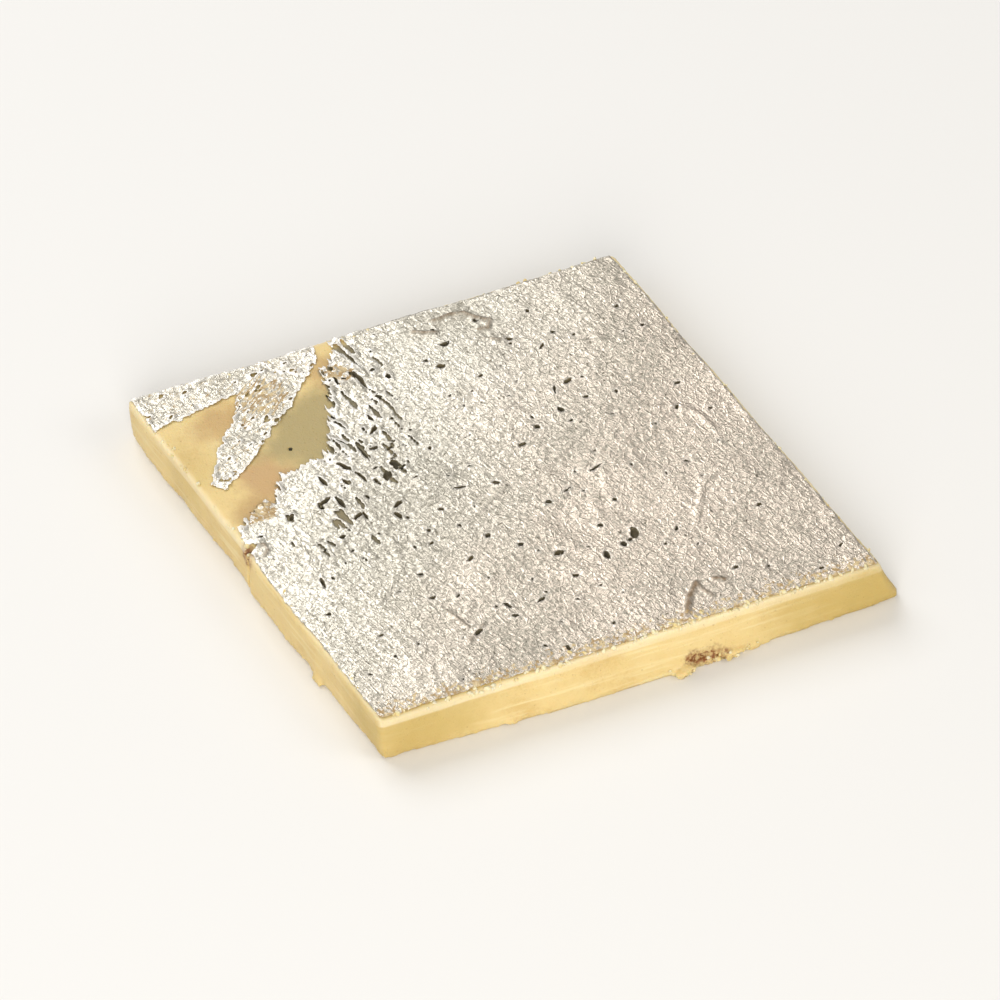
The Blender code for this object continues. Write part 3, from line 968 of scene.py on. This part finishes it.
CREASE_MARGIN = 0.8 * MM


def gap_to(line, point):
    """How far a point is from a line of places, seen from above."""
    level = Vector((point.x, point.y, 0.0))
    gaps = []
    for first, last in zip(line, line[1:]):
        share = intersect_point_line(level, first, last)[1]
        gaps.append((level - first.lerp(last, max(0.0, min(1.0, share)))).length)
    return min(gaps)


folds = []
for width, height, fold_shade, places in FOLDS:
    folds.append((width * MM, height * MM, fold_shade, [at(x, y) for x, y in places]))
shaded_folds = [(width, fold_shade, line) for width, _, fold_shade, line in folds if fold_shade]
print("folds:", len(folds), "brown:", len(shaded_folds))

# %% [markdown]
# The leaf frays most along one slanting band and at the root of the tongue. Those holes
# are too many to place, so a noise decides which squares of the flat sheet go. Stretched
# along the slant it makes cracks, and along the tongue it makes lace. The squares by the
# cracks, and by the folds with painted shade too, are first made finer.

# %% Fraying and lace
CRACK_BAND = ((5.5, 25.0), (9.0, 29.5), (10.5, 34.0), (10.5, 39.0), (12.0, 45.0))
CRACK_LENGTH = 2.6 * MM
CRACK_WIDTH = 0.40 * MM
CRACK_REACH = 5.5 * MM
LACE_SIZE = 0.5 * MM
LACE_LENGTH = 1.1 * MM
LACE_CENTRE = at(3.7, 44.2)
LACE_REACH = 4.8 * MM
LACE_TURN = math.radians(TONGUE_TURN)
crack_line = [at(x, y) for x, y in CRACK_BAND]
slant = Vector((math.cos(SLIVER_TURN), math.sin(SLIVER_TURN), 0.0))


def fine_there(point):
    """Whether a place is near the cracks or a fold with painted shade, where the sheet needs finer squares.
    """
    if gap_to(crack_line, point) < CRACK_REACH:
        return True
    return any(gap_to(line, point) < CREASE_MARGIN for _, _, line in shaded_folds)


def uncracked(point):
    """Below zero where a crack runs: the nearer to the band, the more of them."""
    across = slant.cross(Vector((0.0, 0.0, 1.0)))
    spread = Vector((point.dot(slant) / CRACK_LENGTH, point.dot(across) / CRACK_WIDTH, 4.7))
    gap = gap_to(crack_line, point) / CRACK_REACH
    if gap > 1.0:
        return 1.0
    return 0.33 + 0.30 * gap - field.noise(spread) - 0.3 * field.noise(spread * 2.1)


def unfrayed(point):
    """Below zero where the lace has a hole: the nearer to its centre, the more of them."""
    along = Vector((math.cos(LACE_TURN), math.sin(LACE_TURN), 0.0))
    across = along.cross(Vector((0.0, 0.0, 1.0)))
    spread = Vector((point.dot(along) / LACE_LENGTH, point.dot(across) / LACE_SIZE, 1.3))
    lace = field.noise(spread) + 0.5 * field.noise(spread * 2.2)
    nearness = max(0.0, 1.0 - (point - LACE_CENTRE).length / LACE_REACH)
    return 0.56 - 0.68 * nearness - lace


leaf = flat_sheet("leaf_sheet", main_block, LEAF_CELL)
pick_faces(leaf, lambda face: fine_there(face.center))
edit(leaf, lambda: bpy.ops.mesh.subdivide(number_cuts=1))
eat_holes(leaf, uncracked)
scrap = flat_sheet("leaf_scrap", scrap_block, SCRAP_CELL)
eat_holes(scrap, unfrayed)
print("flat sheets:", len(leaf.data.polygons), len(scrap.data.polygons))

# %% [markdown]
# Laid on the slab, the leaf takes on its swells. Its edges stand up a hair, it is creased
# all over, and the folds rise along their lines. Each of these is a Displace modifier,
# most of them with a vertex group for where they act. How near each point is to a torn edge,
# where a highlight is painted, and how much shade is painted along its folds go into two
# attributes, which the finish of the leaf reads by name.

# %% Draping
LEAF_REST = 0.03 * MM
LEAF_THICKNESS = 0.05 * MM
EDGE_BAND = 0.5 * MM
EDGE_LIFT = 0.3 * MM
EDGE_SHINE = 0.35 * MM
SCRAP_CALM = 0.55
CREASE_SIZE = 0.5 * MM
CREASE_HEIGHT = 0.05 * MM
HATCH_LENGTH = 1.5 * MM
HATCH_WIDTH = 0.42 * MM
HATCH_HEIGHT = 0.07 * MM
HATCH_PATCH = 3.5 * MM
WRINKLE_SIZE = 1.3 * MM
WRINKLE_HEIGHT = 0.085 * MM
SWELL_SIZE = 5.0 * MM
SWELL_HEIGHT = 0.08 * MM
FLUTTER_SIZE = 1.0 * MM
LIVELY_SIZE = 3.5 * MM


def store_creases(piece):
    """Stores how much shade is painted along the folds, darkening the leaf to brown there."""
    fold_shade = piece.data.attributes.new("Painted crease shade", "FLOAT", "POINT")
    for width, amount, line in shaded_folds:
        for vertex in piece.data.vertices:
            uneven = 0.8 * field.noise(vertex.co / CREASE_SIZE)
            close = 1.2 + uneven - gap_to(line, vertex.co) / width
            painted_shade = fold_shade.data[vertex.index]
            painted_shade.value = max(painted_shade.value, amount * min(1.0, max(0.0, close)))


def rim_distance(piece):
    """How far each vertex is from the sheet's edge and its holes."""
    pick_faces(piece, lambda face: True)
    edit(piece, lambda: bpy.ops.mesh.region_to_loop())
    rim = [vertex.co for vertex in piece.data.vertices if vertex.select]
    tree = KDTree(len(rim))
    for number, point in enumerate(rim):
        tree.insert(point, number)
    tree.balance()
    return [tree.find(vertex.co)[2] for vertex in piece.data.vertices]


def hatched(vertex):
    """Long thin folds in two crossing directions, in patches."""
    lines = 0.0
    for turn in FOLD_TURNS:
        turned = Matrix.Rotation(-math.radians(turn), 3, "Z") @ vertex.co
        turned = Vector((turned.x / HATCH_LENGTH, turned.y / HATCH_WIDTH, turn))
        patch = 0.35 + field.noise(vertex.co / HATCH_PATCH + Vector((turn, 0.0, 0.0)))
        lines = max(lines, patch * (1.0 - 4.0 * abs(field.noise(turned))))
    return lines


def fold_profile(line, point, width):
    """Nearly 1 on a fold's line, falling off smoothly to each side."""
    return math.exp(-((gap_to(line, point) / width) ** 2)) - 0.02


def raise_by(piece, height, group):
    """Lifts a vertex group by a height."""
    shape(piece, "DISPLACE", strength=height, mid_level=0.0, direction="Z", vertex_group=group)


def drape(piece, silver_slot, calm=1.0):
    """Lays the sheet on the fudge, lifts its edges, creases it and gives it thickness."""
    distance = rim_distance(piece)
    # How near each point is to a torn edge, for the highlight painted there
    torn = piece.data.attributes.new("Torn edge", "FLOAT", "POINT")
    for vertex in piece.data.vertices:
        close = max(0.0, 1.0 - distance[vertex.index] / EDGE_SHINE)
        torn.data[vertex.index].value = close * near_tear(vertex.co)
    store_creases(piece)
    shape(
        piece,
        "SHRINKWRAP",
        target=fudge,
        wrap_method="NEAREST_SURFACEPOINT",
        wrap_mode="ABOVE_SURFACE",
        offset=LEAF_REST,
    )
    lifted = weigh(
        piece,
        "lifted",
        lambda vertex: (1.0 - distance[vertex.index] / EDGE_BAND) * near_tear(vertex.co),
    )
    flutter = clouds(f"{piece.name} flutter", FLUTTER_SIZE, depth=1)
    flutter.contrast = 2.5
    displace(piece, flutter, calm * EDGE_LIFT, middle=0.2, direction="Z", group=lifted)
    lively = weigh(piece, "lively", lambda vertex: 0.62 + 0.8 * field.noise(vertex.co / LIVELY_SIZE))
    displace(piece, clouds(f"{piece.name} swell", SWELL_SIZE, hard=True), SWELL_HEIGHT, middle=0.0)
    for label, size, height in (
        ("wrinkles", WRINKLE_SIZE, WRINKLE_HEIGHT),
        ("creases", CREASE_SIZE, CREASE_HEIGHT),
    ):
        relief = clouds(f"{piece.name} {label}", size, hard=True)
        displace(piece, relief, calm * height, middle=0.0, group=lively)
    hatch = weigh(piece, "hatch", hatched)
    raise_by(piece, calm * HATCH_HEIGHT, hatch)
    for number, (width, height, _, line) in enumerate(folds):
        fold = weigh(piece, f"fold {number}", lambda vertex: fold_profile(line, vertex.co, width))
        raise_by(piece, height, fold)
    shape(piece, "SOLIDIFY", thickness=LEAF_THICKNESS, offset=1.0)
    use(piece)
    bpy.ops.object.shade_smooth()
    piece.data.materials.clear()
    piece.data.materials.append(silver_slot)
    print(piece.name, "triangles:", triangles(piece))


for cutter in (pit_cutters, nick_cutter):
    shape(fudge, "BOOLEAN", operation="DIFFERENCE", solver="MANIFOLD", object=cutter)
use(fudge)
bpy.ops.object.shade_smooth()
drape(leaf, silver)
drape(scrap, torn_silver, SCRAP_CALM)

# %% [markdown]
# Under the leaf a dark shade is painted on the paste, so that every crack in the leaf
# looks nearly black, as a shadowed hollow does. The painted shade is stored on the fudge as
# an attribute: for each point of the top, whether a sheet's outline covers it. A second one
# marks the cut rim, where a pale highlight is painted. The finish of the paste reads both by name.

# %% Painted shade under the leaf, painted highlight on the rim
SHADE_MARGIN = 0.8 * MM
RIM_HIGHLIGHT_WIDTH = 0.4 * MM
SCRAP_SHADE = 0.3
SHADE_DEPTH = 1.0 * MM


def covered_by(block, point):
    """Whether a point lies inside a block's outline."""
    below = Vector((point.x, point.y, -1.0))
    return block.ray_cast(below, Vector((0.0, 0.0, 1.0)))[0] is not None


graph = bpy.context.evaluated_depsgraph_get()
main_cover = BVHTree.FromObject(main_block, graph)
scrap_cover = BVHTree.FromObject(scrap_block, graph)
painted_shade = fudge.data.attributes.new("Under leaf", "FLOAT", "POINT")
rim_highlight = fudge.data.attributes.new("Painted rim highlight", "FLOAT", "POINT")
shaded_points = 0
for vertex in fudge.data.vertices:
    if vertex.co.z > top_height - SHADE_DEPTH:
        from_rim = inland(vertex.co)
        if covered_by(main_cover, vertex.co):
            painted_shade.data[vertex.index].value = max(0.0, min(1.0, from_rim / SHADE_MARGIN - 1.0))
            shaded_points += 1
        elif covered_by(scrap_cover, vertex.co):
            painted_shade.data[vertex.index].value = SCRAP_SHADE
        rim_highlight.data[vertex.index].value = max(0.0, 1.0 - abs(from_rim) / RIM_HIGHLIGHT_WIDTH)
print("stained points:", shaded_points)
for spent in (pit_cutters, nick_cutter, main_block, scrap_block):
    bpy.data.objects.remove(spent, do_unlink=True)

# %% [markdown]
# ## Golden granules
#
# A knife drags a few grains of paste up over the rim and leaves crumbs by its nicks. One
# grain is a rough little ball, so each is added as an icosphere, turned and stretched at
# random from a seeded draw, and all of them are roughened together.

# %% Crumbs
# Each line: how many, the side that they lie along, how far in they reach, and their sizes, in mm
CRUMB_ROWS = (
    (170, front, right, 0.6, (0.08, 0.26)),
    (50, front, left, 0.3, (0.07, 0.2)),
    (36, right, back, 0.3, (0.07, 0.2)),
    (30, left, back, 0.4, (0.07, 0.22)),
)
CRAG_CRUMBS = 14
CRAG_CRUMB_SIZES = (0.09, 0.22)
CRAG_CRUMB_SPREAD = 2.6
CRAG_CRUMB_HEIGHTS = (0.35, 1.2)
CRUMB_STRETCH = (0.5, 1.6)
CRUMB_ROUGH = 0.2 * MM
crumb_draw = random.Random(11)
tops = BVHTree.FromObject(fudge, bpy.context.evaluated_depsgraph_get())


def add_crumb(place, size, across=False):
    """A rough grain resting on the fudge's top at a place, or clinging to its front cut."""
    start = Vector((place.x, place.y, 2 * top_height))
    aim = Vector((0.0, 0.0, -1.0))
    if across:
        start = Vector((place.x, place.y - 5 * MM, place.z))
        aim = Vector((0.0, 1.0, 0.0))
    hit = tops.ray_cast(start, aim)[0]
    if hit is None:
        return None
    bpy.ops.object.select_all(action="DESELECT")
    bpy.ops.mesh.primitive_ico_sphere_add(
        subdivisions=2,
        radius=size * MM,
        location=hit,
        rotation=[crumb_draw.uniform(0, math.tau) for _ in range(3)],
    )
    crumb = bpy.context.object
    crumb.scale = [crumb_draw.uniform(*CRUMB_STRETCH) for _ in range(3)]
    return crumb


middle = (front + back) / 2
grains = []
for count, start, end, reach, sizes in CRUMB_ROWS:
    for number in range(count):
        rim = start.lerp(end, crumb_draw.uniform(0.01, 0.99))
        inward = (middle - rim).normalized()
        place = rim + inward * abs(crumb_draw.gauss(0.1, reach)) * MM
        grains.append(add_crumb(place, crumb_draw.uniform(*sizes)))
for number in range(CRAG_CRUMBS):
    along = crumb_draw.gauss(CRAG_CENTRE, CRAG_CRUMB_SPREAD)
    lip = at(along, 0.0, crumb_draw.uniform(*CRAG_CRUMB_HEIGHTS) * MM)
    grains.append(add_crumb(lip, crumb_draw.uniform(*CRAG_CRUMB_SIZES), across=True))
grains = [crumb for crumb in grains if crumb]
crumb_count = len(grains)
crumbs = joined(grains, "rim_crumbs")
displace(crumbs, clouds("crumb roughness", CRUMB_ROUGH, depth=2), CRUMB_ROUGH)
use(crumbs)
bpy.ops.object.shade_smooth()
crumbs.data.materials.clear()
crumbs.data.materials.append(crumb_paste)
print("crumbs:", crumb_count, "triangles:", triangles(crumbs))

# %% [markdown]
# ## Floor, light and camera
#
# Silver shows what is round it, so the light matters as much as the finish. One broad
# soft light stands behind the piece, where the leaf mirrors it to the camera, and one in
# front lights the cut side. Two weaker ones fill in from the right and the left. All are
# high up, because a low light turns the leaf plain white from across it, and the dimmer
# sky between them gives the creases something darker to show.

# %% Floor
bpy.ops.object.select_all(action="DESELECT")
bpy.ops.mesh.primitive_plane_add(size=4.0, location=(0.0, 0.0, 0.0))
floor = bpy.context.object
floor.name = "floor"
floor_finish, tree, shader = finish("Pale floor", 0.6)
shader.inputs["Base Color"].default_value = (0.80, 0.79, 0.77, 1.0)
floor.data.materials.append(floor_finish)
floor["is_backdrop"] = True


# %% Lights
def soft_light(name, place, size, power, colour=(1.0, 1.0, 1.0)):
    """A square area light aimed at the piece."""
    bpy.ops.object.select_all(action="DESELECT")
    bpy.ops.object.light_add(type="AREA", location=place)
    lamp = bpy.context.object
    lamp.name = name
    lamp.data.size = size
    lamp.data.energy = power
    lamp.data.color = colour
    lamp.rotation_euler = (-Vector(place)).to_track_quat("-Z", "Y").to_euler()
    return lamp


soft_light("back light", (-0.15, 0.50, 0.58), 0.50, 3.2)
soft_light("front light", (-0.24, -0.56, 0.31), 0.40, 3.1, (1.0, 0.97, 0.92))
soft_light("fill light", (0.45, -0.38, 0.46), 0.35, 1.1, (1.0, 0.97, 0.92))
soft_light("side light", (-0.50, -0.05, 0.52), 0.35, 0.25)
sky = bpy.data.worlds.new("Soft sky")
sky.use_nodes = True
sky.node_tree.nodes["Background"].inputs["Color"].default_value = (1.0, 0.99, 0.97, 1.0)
sky.node_tree.nodes["Background"].inputs["Strength"].default_value = 0.40
bpy.context.scene.world = sky
bpy.context.scene.view_settings.view_transform = "Standard"

# %% [markdown]
# The camera looks from where the photographer stood: down at 46 degrees, a little from
# the left, and far off with a long lens, which keeps the sides almost parallel.

# %% Camera
VIEW_AZIMUTH = math.radians(-17.9)
VIEW_ELEVATION = math.radians(45.9)
VIEW_ROLL = math.radians(-4.1)
VIEW_DISTANCE = 0.79
LENS = 300.0
aim = (front + back) / 2
aim.z = top_height / 2
towards = Vector(
    (
        math.sin(VIEW_AZIMUTH) * math.cos(VIEW_ELEVATION),
        -math.cos(VIEW_AZIMUTH) * math.cos(VIEW_ELEVATION),
        math.sin(VIEW_ELEVATION),
    )
)
bpy.ops.object.camera_add(location=aim + towards * VIEW_DISTANCE)
camera = bpy.context.object
facing = (-towards).to_track_quat("-Z", "Y").to_matrix()
turn = Matrix.Rotation(VIEW_ROLL, 3, "Z")
camera.rotation_euler = (facing @ turn).to_euler()
camera.data.lens = LENS
bpy.context.scene.camera = camera
print("camera at", [round(v, 3) for v in camera.location])

# %% [markdown]
# ## The pieces on one body
#
# Every piece rides on the one body, the fudge wears the paste finish in its first slot,
# and the solid that each piece stands for is hidden.

# %% Ride and finish
fudge.data.materials[0] = paste
for piece, node, slot in (
    (fudge, "cashew_fudge", "cashew_fudge"),
    (leaf, "silver_leaf", "silver_leaf"),
    (scrap, "silver_leaf_scrap", "silver_leaf"),
):
    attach(piece, "root")
    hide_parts(node)
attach(crumbs, "root")
low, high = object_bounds()
sizes = {"cad": [list(CAD_LOW), list(CAD_HIGH)], "visual": [list(low), list(high)]}
print("size in mm:", [round(v / MM, 2) for v in high - low])
